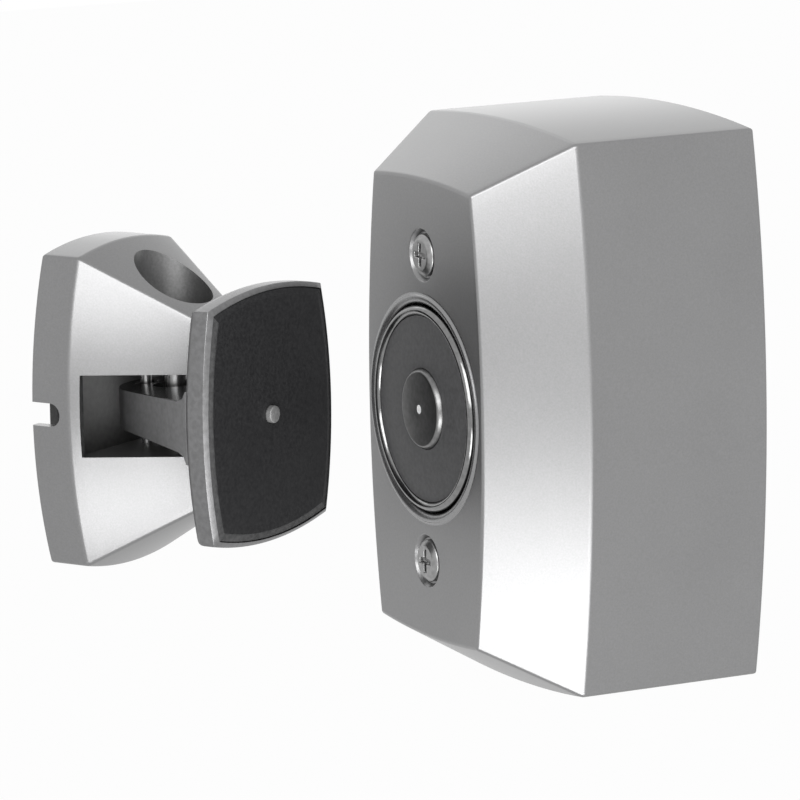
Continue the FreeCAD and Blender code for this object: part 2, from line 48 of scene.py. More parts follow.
aim_up = 0.001793
back = Vector((math.sin(view_azimuth) * math.cos(view_height),
               -math.cos(view_azimuth) * math.cos(view_height), math.sin(view_height)))
level = Vector((math.cos(view_azimuth), math.sin(view_azimuth), 0))
above = back.cross(level)
right = level * math.cos(view_roll) + above * math.sin(view_roll)
up = above * math.cos(view_roll) - level * math.sin(view_roll)
aim = pair_middle - aim_left * level + aim_up * above
lens = bpy.data.cameras.new("pair_camera")
lens.lens = 261.35
lens.sensor_width = 36.0
lens.clip_start = 0.05
lens.clip_end = 50.0
camera = bpy.data.objects.new("pair_camera", lens)
camera.matrix_world = (Matrix.Translation(aim + back * view_distance)
                       @ Matrix((right, up, back)).transposed().to_4x4())
bpy.context.collection.objects.link(camera)
bpy.context.scene.camera = camera

# Magnet housing.
# The deep cover of the magnet unit is a thin zinc casting with bowed sides and
# four sloping facets, sprayed satin silver.  A low rounded lip runs round the
# bore for the magnet, and each screw stands in a shallow dished recess.
box_outline = (0.0650, 0.1169, 0.0051, 0.00188)      # width, height, side bow, top bow
front_outline = (0.0435, 0.0959, 0.0040, 0.0012)
box_depth = 0.0424
front_depth = 0.0618
side_wall = 0.0026
front_wall = 0.0032
front_inside = front_depth - front_wall
cast_edge = 0.0006
magnet_bore = 0.0223
flat_gap = 2e-6      # points this near a plane lie on it
# Profiles turned about a level axis are pairs of radius and rise over a face.
lip_profile = [(0.0248, 0.0), (0.0246, 0.00001), (0.02435, 0.00008), (0.0242, 0.00022),
               (0.0241, 0.00037), (0.0239, 0.00047), (0.0236, 0.0005), (0.0232, 0.00043),
               (0.0228, 0.00023), (0.0225, -0.0001), (magnet_bore, -0.0005)]
screw_height = 0.0328
screw_hole = 0.0023
boss_radius = 0.0072
boss_back = 0.0526
recess_profile = [(0.0058, 0.0), (0.0056, -0.00008), (0.0050, -0.0011), (0.0048, -0.0012),
                  (screw_hole, -0.0012)]


def inset(outline, wall):
    # The same bowed outline, inside a wall of this thickness.
    width, height, side_bow, top_bow = outline
    return (width - 2 * wall, height - 2 * wall, side_bow, top_bow)


def bowed_outline(bm, width, height, side_bow, top_bow, depth, steps=24):
    # A closed outline of four shallow arcs, each one spun from its corner.
    known = set(bm.edges)
    corners = [Vector((-width / 2, -depth, -height / 2)), Vector((width / 2, -depth, -height / 2)),
               Vector((width / 2, -depth, height / 2)), Vector((-width / 2, -depth, height / 2))]
    for k in range(4):
        start = corners[k]
        end = corners[(k + 1) % 4]
        bow = (top_bow, side_bow)[k % 2]
        half = (end - start).length / 2
        radius = (half * half + bow * bow) / (2 * bow)
        middle = (start + end) / 2
        centre = middle - Vector((middle.x, 0, middle.z)).normalized() * (radius - bow)
        axis = (start - centre).cross(end - centre).normalized()
        bmesh.ops.spin(bm, geom=bmesh.ops.create_vert(bm, co=start)["vert"], cent=centre,
                       axis=axis, angle=2 * math.asin(half / radius), steps=steps)
    verts = list({v for e in bm.edges if e not in known for v in e.verts})
    bmesh.ops.remove_doubles(bm, verts=verts, dist=1e-6)
    return [e for e in bm.edges if e not in known]


def bowed_skin(bm, outlines):
    # Walls between the outlines, one after the other.
    loops = [bowed_outline(bm, *outline) for outline in outlines]
    for near, far in zip(loops, loops[1:]):
        bmesh.ops.bridge_loops(bm, edges=near + far)
    return loops


def round_edges(bm, width, angle=18.0):
    # Edges sharper than the angle are rounded over.
    bmesh.ops.recalc_face_normals(bm, faces=bm.faces)
    edges = [e for e in bm.edges if len(e.link_faces) == 2
             and e.calc_face_angle() > math.radians(angle)]
    bmesh.ops.bevel(bm, geom=edges, offset=width, offset_type="OFFSET", segments=3,
                    profile=0.5, affect="EDGES", clamp_overlap=True, material=-1)


def raised(face_depth, profile):
    # The profile's rises as depths in front of the wall or door.
    return [(radius, face_depth + rise) for radius, rise in profile]


def turned(bm, profile, height=0.0, steps=96, closed=False):
    # Pairs of radius and depth, spun about an axis that runs from front to back.
    chain = [bm.verts.new((radius, -depth, height)) for radius, depth in profile]
    pairs = list(zip(chain, chain[1:])) + ([(chain[-1], chain[0])] if closed else [])
    edges = [bm.edges.new(pair) for pair in pairs]
    bmesh.ops.spin(bm, geom=chain + edges, cent=(0, 0, height), axis=(0, 1, 0),
                   angle=2 * math.pi, steps=steps, use_merge=True)


def on_plane(verts, depth):
    return all(abs(v.co.y + depth) < flat_gap for v in verts)


def close_plane(bm, depth):
    # The flat face between all open edges at this depth.
    rim = [e for e in bm.edges if e.is_boundary and on_plane(e.verts, depth)]
    bmesh.ops.triangle_fill(bm, edges=rim, use_beauty=True)


def open_plane(bm, depth):
    flat = [f for f in bm.faces if on_plane(f.verts, depth)]
    bmesh.ops.delete(bm, geom=flat, context="FACES_ONLY")


def into_piece(bm, piece_name, materials, nodes, body, sharp=38.0):
    # Smooth shading with crisp edges; the large faces keep their own normals.
    bmesh.ops.remove_doubles(bm, verts=bm.verts, dist=1e-6)
    bmesh.ops.recalc_face_normals(bm, faces=bm.faces)
    for face in bm.faces:
        face.smooth = True
    for edge in bm.edges:
        edge.smooth = not (len(edge.link_faces) == 2
                           and edge.calc_face_angle() > math.radians(sharp))
    mesh = bpy.data.meshes.new(piece_name)
    bm.to_mesh(mesh)
    bm.free()
    piece = bpy.data.objects.new(piece_name, mesh)
    bpy.context.collection.objects.link(piece)
    weight = piece.modifiers.new("area_weighted", "WEIGHTED_NORMAL")
    weight.keep_sharp = True
    weight.weight = 80
    for material in materials:
        mesh.materials.append(material)
    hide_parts(*nodes)
    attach(piece, body)


def sprayed_silver(name, low, high, dark=0.235, light=0.272):
    # Metal flake lacquer: a fine sparkle over slow clouds of shade.
    material = bpy.data.materials.new(name)
    material.use_nodes = True
    nodes = material.node_tree.nodes
    links = material.node_tree.links
    surface = nodes["Principled BSDF"]
    surface.inputs["Metallic"].default_value = 0.9
    place = nodes.new("ShaderNodeTexCoord")
    flake = nodes.new("ShaderNodeTexNoise")
    flake.inputs["Scale"].default_value = 2600.0
    flake.inputs["Detail"].default_value = 3.0
    cloud = nodes.new("ShaderNodeTexNoise")
    cloud.inputs["Scale"].default_value = 45.0
    cloud.inputs["Detail"].default_value = 2.0
    shade = nodes.new("ShaderNodeValToRGB")
    shade.color_ramp.elements[0].position = 0.3
    shade.color_ramp.elements[0].color = (dark, dark, dark + 0.002, 1.0)
    shade.color_ramp.elements[1].position = 0.7
    shade.color_ramp.elements[1].color = (light, light, light + 0.002, 1.0)
    mixed = nodes.new("ShaderNodeMix")
    mixed.inputs["Factor"].default_value = 0.72
    gloss = nodes.new("ShaderNodeMapRange")
    gloss.inputs["To Min"].default_value = low
    gloss.inputs["To Max"].default_value = high
    relief = nodes.new("ShaderNodeBump")
    relief.inputs["Strength"].default_value = 0.06
    relief.inputs["Distance"].default_value = 0.0002
    links.new(place.outputs["Object"], flake.inputs["Vector"])
    links.new(place.outputs["Object"], cloud.inputs["Vector"])
    links.new(cloud.outputs["Fac"], mixed.inputs["A"])
    links.new(flake.outputs["Fac"], mixed.inputs["B"])
    links.new(mixed.outputs["Result"], shade.inputs["Fac"])
    links.new(mixed.outputs["Result"], gloss.inputs["Value"])
    links.new(flake.outputs["Fac"], relief.inputs["Height"])
    links.new(shade.outputs["Color"], surface.inputs["Base Color"])
    links.new(gloss.outputs["Result"], surface.inputs["Roughness"])
    links.new(relief.outputs["Normal"], surface.inputs["Normal"])
    return material


silver = sprayed_silver("sprayed_silver", 0.30, 0.36)
rubbed_lip = sprayed_silver("rubbed_lip", 0.2, 0.26)
front_silver = sprayed_silver("front_silver", 0.40, 0.46)
cover = bmesh.new()
outer = bowed_skin(cover, [(*box_outline, 0.0), (*box_outline, box_depth),
                           (*front_outline, front_depth)])
inner = bowed_skin(cover, [(*inset(box_outline, side_wall), 0.0),
                           (*inset(box_outline, side_wall), box_depth),
                           (*inset(front_outline, side_wall), front_inside)])
close_plane(cover, 0.0)
bmesh.ops.contextual_create(cover, geom=outer[-1])
bmesh.ops.contextual_create(cover, geom=inner[-1])
round_edges(cover, cast_edge)
open_plane(cover, front_depth)
open_plane(cover, front_inside)
walls = set(cover.faces)
turned(cover, raised(front_depth, lip_profile) + [(magnet_bore, front_inside)], steps=128)
for lip in set(cover.faces) - walls:
    lip.material_index = 1
for height in (screw_height, -screw_height):
    turned(cover, raised(front_depth, recess_profile)
           + [(screw_hole, boss_back), (boss_radius, boss_back), (boss_radius, front_inside)],
           height, steps=64)
sides = set(cover.faces)
close_plane(cover, front_depth)
for flat in set(cover.faces) - sides:
    flat.material_index = 2
close_plane(cover, front_inside)
into_piece(cover, "housing_cover", [silver, rubbed_lip, front_silver], ["magnet_housing"],
           "holder")

# Cover screws.
# Two pan-head steel screws with a cross recess hold the cover on its posts.
# Their plating has gone dull.
screw_edge = 0.00022


def fine_marked(name, dark, light, low, high, scale=900.0, strength=0.05, metallic=1.0,
                shine=0.5):
    # Metal, paint, resin or nylon with fine marks in its shade, gloss and relief.
    material = bpy.data.materials.new(name)
    material.use_nodes = True
    nodes = material.node_tree.nodes
    links = material.node_tree.links
    surface = nodes["Principled BSDF"]
    surface.inputs["Metallic"].default_value = metallic
    surface.inputs["Specular IOR Level"].default_value = shine
    place = nodes.new("ShaderNodeTexCoord")
    marks = nodes.new("ShaderNodeTexNoise")
    marks.inputs["Scale"].default_value = scale
    marks.inputs["Detail"].default_value = 4.0
    shade = nodes.new("ShaderNodeValToRGB")
    shade.color_ramp.elements[0].position = 0.35
    shade.color_ramp.elements[0].color = (*dark, 1.0)
    shade.color_ramp.elements[1].position = 0.65
    shade.color_ramp.elements[1].color = (*light, 1.0)
    gloss = nodes.new("ShaderNodeMapRange")
    gloss.inputs["To Min"].default_value = low
    gloss.inputs["To Max"].default_value = high
    relief = nodes.new("ShaderNodeBump")
    relief.inputs["Strength"].default_value = strength
    relief.inputs["Distance"].default_value = 0.0001
    links.new(place.outputs["Object"], marks.inputs["Vector"])
    links.new(marks.outputs["Fac"], shade.inputs["Fac"])
    links.new(marks.outputs["Fac"], gloss.inputs["Value"])
    links.new(marks.outputs["Fac"], relief.inputs["Height"])
    links.new(shade.outputs["Color"], surface.inputs["Base Color"])
    links.new(gloss.outputs["Result"], surface.inputs["Roughness"])
    links.new(relief.outputs["Normal"], surface.inputs["Normal"])
    return material


def clean_solid(node):
    # A welded copy of the node's own mesh, with each flat face in one piece again.
    bm = bmesh.new()
    bm.from_mesh(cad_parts[node].data)
    bmesh.ops.remove_doubles(bm, verts=bm.verts, dist=2e-6)
    bmesh.ops.dissolve_limit(bm, angle_limit=math.radians(0.4), use_dissolve_boundaries=False,
                             verts=bm.verts, edges=bm.edges, delimit=set())
    return bm


dulled_plating = fine_marked("dulled_plating", (0.26, 0.26, 0.26), (0.34, 0.34, 0.34), 0.28, 0.38)
screws = clean_solid("cover_screws")
round_edges(screws, screw_edge, angle=30.0)
into_piece(screws, "cover_screw_pair", [dulled_plating], ["cover_screws"], "holder")

# Magnet.
# A nickel plated steel cup with a rounded rim round a dark ground centre pole,
# and the coil between them closed with a ring of grey resin.
cup_radius = 0.0220
cup_inside = 0.0199
cup_back = 0.02675
cup_floor = 0.03175
cup_hole = 0.0032
rim_profile = [(cup_radius, -0.0001), (0.02185, 0.0003), (0.0215, 0.0007), (0.0212, 0.00088),
               (0.0209, 0.00095), (0.0206, 0.00088), (0.0203, 0.0007), (0.0200, 0.00035),
               (cup_inside, 0.0)]
cup_nickel = fine_marked("cup_nickel", (0.19, 0.19, 0.19), (0.24, 0.24, 0.24), 0.12, 0.18)
cup = bmesh.new()
turned(cup, [(cup_hole, cup_back), (cup_radius, cup_back)] + raised(front_depth, rim_profile)
       + [(cup_inside, cup_floor), (cup_hole, cup_floor)], steps=128, closed=True)
into_piece(cup, "magnet_pot", [cup_nickel], ["magnet_cup"], "holder")

pole_radius = 0.0086
pole_depth = 0.06305
pole_thread = 0.0030
pole_thread_end = 0.03625
dimple_radius = 0.00095
dimple_drop = 0.00075
pole_edge = [(pole_radius, -0.00135), (0.0085, -0.00095), (0.0083, -0.0005),
             (0.00812, -0.00025), (0.0079, -0.00008), (0.00765, 0.0), (dimple_radius, 0.0)]
pole_steel = fine_marked("pole_steel", (0.17, 0.17, 0.17), (0.22, 0.22, 0.22), 0.28, 0.38)
# Painted highlight: the centre dimple is near white, a glint painted in.
pole_painted_glint = fine_marked("pole_painted_glint", (0.8, 0.8, 0.8), (0.9, 0.9, 0.9), 0.3, 0.4, metallic=0.2)
pole = bmesh.new()
turned(pole, [(0.0, pole_thread_end), (pole_thread, pole_thread_end), (pole_thread, cup_floor),
              (pole_radius, cup_floor)] + raised(pole_depth, pole_edge))
face_side = set(pole.faces)
turned(pole, [(dimple_radius, pole_depth), (0.0, pole_depth - dimple_drop)])
# The dimple's faces get the painted highlight.
for spot in set(pole.faces) - face_side:
    spot.material_index = 1
into_piece(pole, "magnet_pole", [pole_steel, pole_painted_glint], ["magnet_core"], "holder",
           sharp=50.0)

resin_back = 0.0589
resin_radius = 0.0198
resin_hole = 0.0087
resin_profile = [(resin_radius, 0.0001), (0.0193, 0.00003), (0.0184, 0.0), (0.0100, 0.0),
                 (0.0092, 0.00003), (resin_hole, 0.0001)]


def nonmetal(name, dark, light, low, high, shine=0.5):
    # Resin, nylon or black enamel, with finer and fainter marks.
    return fine_marked(name, dark, light, low, high, scale=1400.0, strength=0.04,
                       metallic=0.0, shine=shine)


resin_grey = nonmetal("resin_grey", (0.05, 0.05, 0.051), (0.068, 0.068, 0.07), 0.42, 0.55,
                      shine=0.3)
resin = bmesh.new()
turned(resin, [(resin_hole, resin_back), (resin_radius, resin_back)]
       + raised(front_depth, resin_profile), closed=True)
into_piece(resin, "coil_resin", [resin_grey], ["coil_cover"], "holder",
           sharp=50.0)


# Inside the housing.
# Zinc plated sheet and posts, riveted and screwed together, carry the copper
# coil on its nylon bobbin and the black terminal block with its brass screws.
def dress(material, *names):
    # A solid whose shape is right keeps it and gets this material.
    for name in names:
        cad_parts[name].data.materials.clear()
        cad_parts[name].data.materials.append(material)


zinc_sheet = fine_marked("zinc_sheet", (0.52, 0.52, 0.53), (0.59, 0.59, 0.60), 0.32, 0.40,
                         scale=450.0)
dress(zinc_sheet, "cover_posts", "wall_plate", "magnet_bracket")
screw_plating = fine_marked("screw_plating", (0.38, 0.38, 0.38), (0.5, 0.5, 0.5), 0.24, 0.34)
dress(screw_plating, "bracket_rivets", "core_screw", "core_lock_washer", "terminal_fixing")
bobbin_nylon = nonmetal("bobbin_nylon", (0.76, 0.75, 0.71), (0.84, 0.83, 0.80), 0.4, 0.5)
dress(bobbin_nylon, "coil_bobbin")
winding_copper = fine_marked("winding_copper", (0.55, 0.22, 0.10), (0.76, 0.38, 0.2), 0.25, 0.35)
dress(winding_copper, "coil_winding")
terminal_black = nonmetal("terminal_black", (0.03, 0.03, 0.032), (0.05, 0.05, 0.052), 0.3, 0.4)
dress(terminal_black, "terminal_block")
terminal_brass = fine_marked("terminal_brass", (0.6, 0.44, 0.18), (0.76, 0.6, 0.3), 0.25, 0.35)
dress(terminal_brass, "terminal_screws")

# Catch base.
# The door unit's zinc casting, sprayed silver: a bowed flange, four facets that
# narrow to a fork, and an upright bore for the pivot screw.  It is modelled
# square to its door face and then turned to its place.
flange_outline = (0.0340, 0.0662, 0.0053, 0.0020)      # width, height, side bow, top bow
neck_outline = (0.0137, 0.0391, 0.0016, 0.0009)
flange_depth = 0.0096
neck_depth = 0.0339
cavity_depth = 0.0102
cavity_half = 0.0197
fork_half = 0.0088
fork_start = 0.0117
fork_mouth = (0.0092, 0.0127)      # where the fork opens into the cavity
pivot_depth = 0.0219
pivot_bore = 0.0083
pivot_bore_floor = 0.0120
pivot_hole = 0.00195
pivot_hole_end = -0.0180
limit_pin_depth = 0.0141
limit_pin_radius = 0.0012
limit_pin_half = 0.0114
notch_depth = 0.0048
notch_half = 0.0025
set_screw_depth = 0.0055
set_screw_radius = 0.0020
set_screw_top = -0.0250
aside = 0.04      # clear of the casting at its side
clear = 0.05      # clear of it in front, above and below
behind = -0.001      # clear of its back
base_middle = (-0.0517, -0.115, 0)
base_turn = math.radians(120)
unit_place = Matrix.Translation(base_middle) @ Matrix.Rotation(base_turn, 4, "Z")


def carved(bm, tool, coats, finish=0, how="DIFFERENCE"):
    # The piece less the tool's shape, whose walls get the coat of this number;
    # a tool that is joined on keeps its own coats.
    if how == "DIFFERENCE":
        for face in tool.faces:
            face.material_index = finish
    pair = []
    for shape in (bm, tool):
        bmesh.ops.recalc_face_normals(shape, faces=shape.faces)
        mesh = bpy.data.meshes.new("carving")
        shape.to_mesh(mesh)
        shape.free()
        for coat in coats:
            mesh.materials.append(coat)
        item = bpy.data.objects.new("carving", mesh)
        bpy.context.collection.objects.link(item)
        pair.append(item)
    cut = pair[0].modifiers.new("cut", "BOOLEAN")
    cut.operation = how
    cut.solver = "EXACT"
    cut.object = pair[1]
    cut.material_mode = "INDEX"
    left = bmesh.new()
    left.from_mesh(pair[0].evaluated_get(bpy.context.evaluated_depsgraph_get()).to_mesh())
    for item in pair:
        mesh = item.data
        bpy.data.objects.remove(item)
        bpy.data.meshes.remove(mesh)
    return left


def block_tool(x0, x1, depth0, depth1, z0, z1):
    bm = bmesh.new()
    bmesh.ops.create_cube(bm, size=1.0, matrix=Matrix.Translation(
        ((x0 + x1) / 2, -(depth0 + depth1) / 2, (z0 + z1) / 2))
        @ Matrix.Diagonal((x1 - x0, depth1 - depth0, z1 - z0, 1.0)))
    return bm


def round_tool(radius, low, high, depth, steps, turn=0.0):
    # Upright rod, or one along X where turn is a quarter.
    bm = bmesh.new()
    bmesh.ops.create_cone(bm, cap_ends=True, segments=steps, radius1=radius, radius2=radius,
                          depth=high - low, matrix=Matrix.Translation((0, -depth, 0))
                          @ Matrix.Rotation(turn, 4, "Y")
                          @ Matrix.Translation((0, 0, (low + high) / 2)))
    return bm


# Painted shade: the same silver as the housing, a shade darker on the door unit.
base_silver_shaded = sprayed_silver("base_silver_shaded", 0.30, 0.36, dark=0.215, light=0.252)
# Painted shade: the walls in the fork and the cavity behind it are unpainted, and their near black
# stands in for the shade inside them.
fork_painted_shade = fine_marked("fork_painted_shade", (0.016, 0.016, 0.016), (0.03, 0.03, 0.03), 0.42, 0.55,
                         scale=700.0, strength=0.1, metallic=0.0)
bore_bare = fine_marked("bore_bare", (0.28, 0.28, 0.28), (0.33, 0.33, 0.33), 0.38, 0.46,
                        scale=1800.0)
casting_coats_and_shade = [base_silver_shaded, fork_painted_shade, bore_bare]
casting = bmesh.new()
outer = bowed_skin(casting, [(*flange_outline, 0.0), (*flange_outline, flange_depth),
                             (*neck_outline, neck_depth)])
bmesh.ops.contextual_create(casting, geom=outer[-1])
outside = set(casting.faces)
inner = bowed_skin(casting, [(*inset(flange_outline, side_wall), 0.0),
                             (*inset(flange_outline, side_wall), cavity_depth)])
bmesh.ops.contextual_create(casting, geom=inner[-1])
# The cavity walls get the fork's painted shade.
for wall in set(casting.faces) - outside:
    wall.material_index = 1
close_plane(casting, 0.0)
ridges = [e for e in casting.edges if min(v.co.y for v in e.verts) < 0.0001 - neck_depth
          and max(v.co.y for v in e.verts) > -0.0001 - flange_depth]
bmesh.ops.subdivide_edges(casting, edges=ridges, cuts=7)
round_edges(casting, cast_edge)
fork = block_tool(-aside, aside, fork_start, clear, -fork_half, fork_half)
mouth = block_tool(-cavity_half, cavity_half, *fork_mouth, -fork_half, fork_half)
access = round_tool(pivot_bore, pivot_bore_floor, clear, pivot_depth, steps=96)
pivot = round_tool(pivot_hole, pivot_hole_end, clear, pivot_depth, steps=48)
stop = round_tool(limit_pin_radius, -limit_pin_half, limit_pin_half, limit_pin_depth, steps=32)
notch = block_tool(-aside, 0.0, behind, notch_depth, -notch_half, notch_half)
notch_end = round_tool(notch_half, -aside, 0.0, notch_depth, steps=48, turn=math.pi / 2)
set_screw = round_tool(set_screw_radius, -clear, set_screw_top, set_screw_depth, steps=48)
# Coat 1 is the painted shade of the fork and its mouth.
for tool, finish in [(fork, 1), (mouth, 1), (access, 2), (pivot, 0), (stop, 0), (notch, 0),
                     (notch_end, 0), (set_screw, 0)]:
    casting = carved(casting, tool, casting_coats_and_shade, finish)
bmesh.ops.transform(casting, matrix=unit_place, verts=casting.verts)
into_piece(casting, "base_casting", casting_coats_and_shade, ["catch_base"], "holder",
           sharp=30.0)

# Door plate and pivot.
# A stamped steel plate with two bent tabs is screwed to the door and holds the
# base by a set screw; its side faces are near black, a painted shade.  Plated pins
# cross the fork, and a black nylon ball turns on the larger one between two sleeves.
dull_steel = fine_marked("dull_steel", (0.28, 0.28, 0.28), (0.34, 0.34, 0.34), 0.4, 0.55)
edge_painted_shade = fine_marked("edge_painted_shade", (0.02, 0.02, 0.02), (0.035, 0.035, 0.035), 0.45, 0.6,
                            metallic=0.0)
door_plate = clean_solid("door_plate")
bmesh.ops.transform(door_plate, matrix=unit_place.inverted(), verts=door_plate.verts)
# The plate's side faces, seen through the notch, get the painted shade.
for sheared in [f for f in door_plate.faces if abs(f.normal.x) > 0.6]:
    sheared.material_index = 1
bmesh.ops.transform(door_plate, matrix=unit_place, verts=door_plate.verts)
into_piece(door_plate, "door_fixing_plate", [dull_steel, edge_painted_shade], ["door_plate"], "holder")
dress(screw_plating, "base_set_screw", "pivot_screw", "pivot_sleeves", "limit_pin")
ball_nylon = nonmetal("ball_nylon", (0.02, 0.02, 0.02), (0.035, 0.035, 0.035), 0.3, 0.4)
dress(ball_nylon, "swivel_ball")

# Catch plate.
# A steel carrier with a rolled back edge and a bevelled rim, on a tail that
# lies in the fork, and a black steel face let into it and held by two screws
# from behind.  The face's left and lower bevel is a lighter grey, a painted sheen.
plate_outline = (0.0423, 0.0496, 0.0029, 0.0025)      # width, height, side bow, top bow
plate_tilt = math.radians(-0.2)
plate_back = 0.0396
back_roll = 0.0030
face_bed = 0.0431
face_front = 0.0461
# The rim's rows are pairs of inset and depth.
rim_rows = [(0.0, 0.0451), (0.00008, 0.0453), (0.0009, 0.04598), (0.0010, 0.0460),
            (0.0010, face_bed)]
tail_cut = 0.04115
tail_set_back = 0.0016
set_back_start = 0.030
set_back_run = 0.0082
tail_foot = 0.0008
tail_edge = 0.0004
pin_bore = 0.00285
pin_bore_floor = 0.03705
pin_bore_mouth = 0.0440      # in front of the bed of the face
face_screw_height = 0.0160
pocket_radius = 0.0030
pocket_floor = 0.0412
pocket_mouth = 0.0390      # behind the plate
plate_place = (unit_place @ Matrix.Translation((0, -pivot_depth, 0))
               @ Matrix.Rotation(plate_tilt, 4, "X") @ Matrix.Translation((0, pivot_depth, 0)))


def plate_rows(rows):
    # Pairs of inset and depth as outlines of the plate.
    return [(*inset(plate_outline, step), depth) for step, depth in rows]


def drill(radius, near, far, height=0.0):
    # A round cutter along the plate's own axis.
    bm = bmesh.new()
    turned(bm, [(0.0, near), (radius, near), (radius, far), (0.0, far)], height, steps=48)
    return bm


carrier_satin = fine_marked("carrier_satin", (0.18, 0.18, 0.182), (0.22, 0.22, 0.223),
                            0.32, 0.42)
# The tail's top and bottom faces are glossy black.
tail_glossy_black = fine_marked("tail_glossy_black", (0.02, 0.02, 0.02), (0.035, 0.035, 0.035),
                            0.16, 0.24, strength=0.03, metallic=0.0)
carrier = bmesh.new()
rolled = [(back_roll * (1 - math.sin(math.radians(15 * k))),
           plate_back + back_roll * (1 - math.cos(math.radians(15 * k)))) for k in range(7)]
rows = bowed_skin(carrier, plate_rows(rolled + rim_rows))
bmesh.ops.contextual_create(carrier, geom=rows[0])
bmesh.ops.contextual_create(carrier, geom=rows[-1])
tail = clean_solid("catch_carrier")
bmesh.ops.transform(tail, matrix=plate_place.inverted(), verts=tail.verts)
bmesh.ops.bisect_plane(tail, geom=tail.verts[:] + tail.edges[:] + tail.faces[:],
                       plane_co=(0, -tail_cut, 0), plane_no=(0, -1, 0), clear_outer=True)
# The tail's flare is set back to meet the plate, and its foot runs on into it.
for v in tail.verts:
    v.co.y += tail_set_back * min(max((-v.co.y - set_back_start) / set_back_run, 0.0), 1.0)
round_edges(tail, tail_edge, 30.0)
foot = bmesh.ops.extrude_edge_only(tail, edges=[e for e in tail.edges if e.is_boundary])
bmesh.ops.translate(tail, vec=(0, -tail_foot, 0),
                    verts=[v for v in foot["geom"] if isinstance(v, bmesh.types.BMVert)])
bmesh.ops.triangle_fill(tail, edges=[e for e in tail.edges if e.is_boundary], use_beauty=True)
for cheek in [f for f in tail.faces if abs(f.normal.z) > 0.7]:
    cheek.material_index = 1
carrier_finish = [carrier_satin, tail_glossy_black]
carrier = carved(carrier, tail, carrier_finish, how="UNION")
for cutter in (drill(pin_bore, pin_bore_floor, pin_bore_mouth),
               drill(pocket_radius, pocket_mouth, pocket_floor, face_screw_height),
               drill(pocket_radius, pocket_mouth, pocket_floor, -face_screw_height)):
    carrier = carved(carrier, cutter, carrier_finish)
bmesh.ops.transform(carrier, matrix=plate_place, verts=carrier.verts)
into_piece(carrier, "plate_carrier", carrier_finish, ["catch_carrier"],
           "catch_plate", sharp=42.0)
dress(screw_plating, "face_screws")

pin_hole = 0.00193
face_black = nonmetal("face_black", (0.014, 0.014, 0.015), (0.024, 0.024, 0.025), 0.35, 0.5,
                      shine=0.3)
bevel_painted_sheen = fine_marked("bevel_painted_sheen", (0.05, 0.05, 0.051), (0.085, 0.085, 0.086), 0.3, 0.45,
                         metallic=0.3)
face = bmesh.new()
bowed_skin(face, plate_rows([(0.0011, face_bed), (0.0011, 0.04565), (0.0012, 0.0458),
                             (0.0023, 0.04604), (0.0026, face_front)]))
# The left and lower strips of the bevel get the painted sheen.
for strip in face.faces:
    middle = strip.calc_center_median()
    across = middle.x / plate_outline[0]
    along = middle.z / plate_outline[1]
    if min(across, along) < -abs(max(across, along)):
        strip.material_index = 1
turned(face, [(0.00205, face_front), (pin_hole, 0.0460), (pin_hole, face_bed)], steps=48)
close_plane(face, face_bed)
close_plane(face, face_front)
bmesh.ops.transform(face, matrix=plate_place, verts=face.verts)
into_piece(face, "black_face", [face_black, bevel_painted_sheen], ["face_plate"], "catch_plate",
           sharp=50.0)

# Push-off pin.
# A bright steel pin in the middle of the face, with a collar behind the black
# plate, pressed out by a small coil spring of steel wire in the tail's bore.
pin_radius = 0.00185
pin_front = 0.0472
pin_collar = 0.0026
pin_collar_back = 0.0416
pin_stem = 0.00115
pin_stem_back = 0.0401
pin_bright = fine_marked("pin_bright", (0.19, 0.19, 0.19), (0.25, 0.25, 0.25), 0.4, 0.5,
                         metallic=0.35)
pin = bmesh.new()
turned(pin, [(0.0, pin_stem_back), (pin_stem, pin_stem_back), (pin_stem, pin_collar_back),
             (pin_collar, pin_collar_back), (pin_collar, face_bed), (pin_radius, face_bed),
             (pin_radius, 0.0469), (0.00178, 0.0471), (0.0016, pin_front), (0.0, pin_front)],
       steps=48)
bmesh.ops.transform(pin, matrix=plate_place, verts=pin.verts)
into_piece(pin, "push_off_pin", [pin_bright], ["release_pin"], "release_pin",
           sharp=50.0)

coil_radius = 0.0023
coil_start = 0.03741
coil_turns = 4.6
coil_steps = 111
coil_rise = 0.000025      # at each step
wire_radius = 0.00029
spring_steel = fine_marked("spring_steel", (0.42, 0.42, 0.43), (0.55, 0.55, 0.56), 0.2, 0.3)
spring = bmesh.new()
bmesh.ops.create_circle(spring, segments=10, radius=wire_radius,
                        matrix=Matrix.Translation((coil_radius, -coil_start, 0)))
wire_end = spring.edges[:]
last = bmesh.ops.spin(spring, geom=wire_end, cent=(0, 0, 0), axis=(0, -1, 0),
                      dvec=(0, -coil_rise, 0), angle=2 * math.pi * coil_turns,
                      steps=coil_steps)["geom_last"]
bmesh.ops.contextual_create(spring, geom=wire_end)
bmesh.ops.contextual_create(spring, geom=[e for e in last if isinstance(e, bmesh.types.BMEdge)])
bmesh.ops.transform(spring, matrix=plate_place, verts=spring.verts)
into_piece(spring, "pin_spring", [spring_steel], ["release_spring"], "catch_plate",
           sharp=50.0)

# Studio.
# A white table well below the pair in a white room, one large soft box over the
# camera, one below it, and two weak ones to the left and behind.
table_height = -0.90
table_size = 8.0
table_glow = 0.95
room_light = 0.6
room_white = 1.0


def seen_plainly(nodes, links):
    # 1 for rays from the camera, a reflection or a clear piece, and 0 for others.
    ray = nodes.new("ShaderNodeLightPath")
    first_two = nodes.new("ShaderNodeMath")
    first_two.operation = "MAXIMUM"
    all_three = nodes.new("ShaderNodeMath")
    all_three.operation = "MAXIMUM"
    links.new(ray.outputs["Is Camera Ray"], first_two.inputs[0])
    links.new(ray.outputs["Is Glossy Ray"], first_two.inputs[1])
    links.new(first_two.outputs[0], all_three.inputs[0])
    links.new(ray.outputs["Is Transmission Ray"], all_three.inputs[1])
    return all_three.outputs[0]


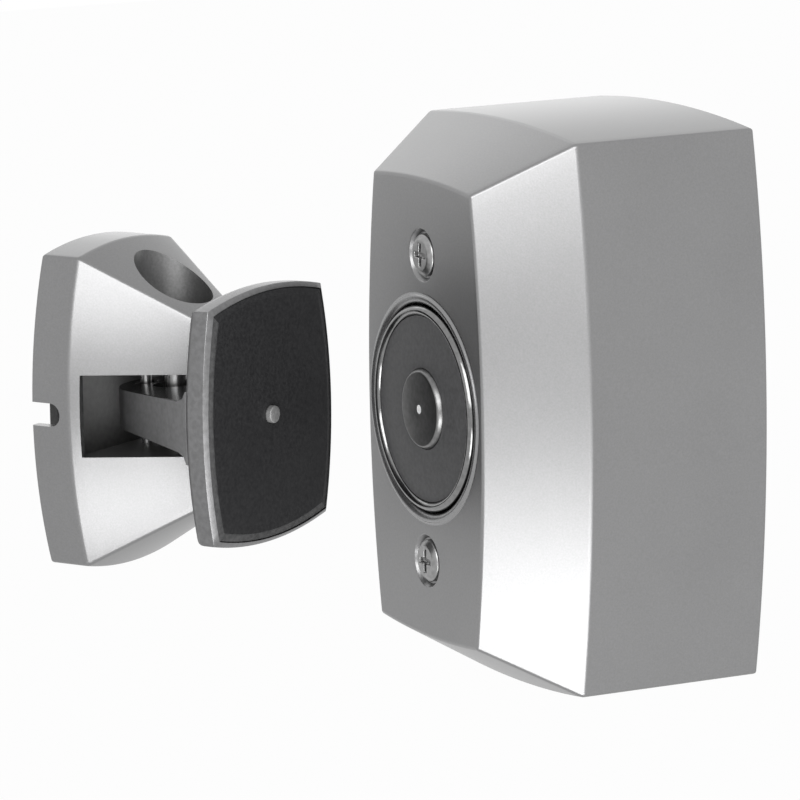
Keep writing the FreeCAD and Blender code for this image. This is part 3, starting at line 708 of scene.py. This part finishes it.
bm = bmesh.new()
bmesh.ops.create_grid(bm, x_segments=1, y_segments=1, size=table_size,
                      matrix=Matrix.Translation((0, 0, table_height)))
floor_mesh = bpy.data.meshes.new("studio_floor")
bm.to_mesh(floor_mesh)
bm.free()
floor = bpy.data.objects.new("studio_floor", floor_mesh)
bpy.context.collection.objects.link(floor)
floor_white = bpy.data.materials.new("floor_white")
floor_white.use_nodes = True
nodes = floor_white.node_tree.nodes
links = floor_white.node_tree.links
matt = nodes["Principled BSDF"]
matt.inputs["Base Color"].default_value = (1, 1, 1, 1)
matt.inputs["Roughness"].default_value = 0.9
glow = nodes.new("ShaderNodeEmission")
glow.inputs["Strength"].default_value = 1.0
share = nodes.new("ShaderNodeMath")
share.operation = "MULTIPLY"
share.inputs[1].default_value = table_glow
blend = nodes.new("ShaderNodeMixShader")
links.new(seen_plainly(nodes, links), share.inputs[0])
links.new(share.outputs[0], blend.inputs["Fac"])
links.new(matt.outputs["BSDF"], blend.inputs[1])
links.new(glow.outputs["Emission"], blend.inputs[2])
links.new(blend.outputs["Shader"], nodes["Material Output"].inputs["Surface"])
floor_mesh.materials.append(floor_white)


def soft_box(name, azimuth, height, distance, width, depth, watts):
    # An oblong lamp that looks at the pair from this direction.
    lamp = bpy.data.lights.new(name, "AREA")
    lamp.shape = "RECTANGLE"
    lamp.size = width
    lamp.size_y = depth
    lamp.energy = watts
    box = bpy.data.objects.new(name, lamp)
    around = math.radians(azimuth)
    over = math.radians(height)
    away = Vector((math.sin(around) * math.cos(over), -math.cos(around) * math.cos(over),
                   math.sin(over)))
    middle = Vector((0, -0.07, 0))
    box.matrix_world = (Matrix.Translation(middle + away * distance)
                        @ away.to_track_quat("Z", "Y").to_matrix().to_4x4())
    bpy.context.collection.objects.link(box)


soft_box("key_box", 54, 27, 1.5, 1.3, 1.02, 17.5)
soft_box("low_box", 71, -31, 1.1, 0.85, 0.50, 8.2)
soft_box("left_box", -96, 30, 1.5, 0.9, 0.5, 0.9)
soft_box("back_box", -118, 8, 1.6, 0.9, 0.42, 1.0)

world = bpy.data.worlds.new("studio_white")
bpy.context.scene.world = world
world.use_nodes = True
nodes = world.node_tree.nodes
links = world.node_tree.links
ground = nodes["Background"]
ground.inputs["Color"].default_value = (1, 1, 1, 1)
room_level = nodes.new("ShaderNodeMapRange")
room_level.inputs["To Min"].default_value = room_light
room_level.inputs["To Max"].default_value = room_white
links.new(seen_plainly(nodes, links), room_level.inputs["Value"])
links.new(room_level.outputs["Result"], ground.inputs["Strength"])

bpy.context.scene.view_settings.view_transform = "Standard"
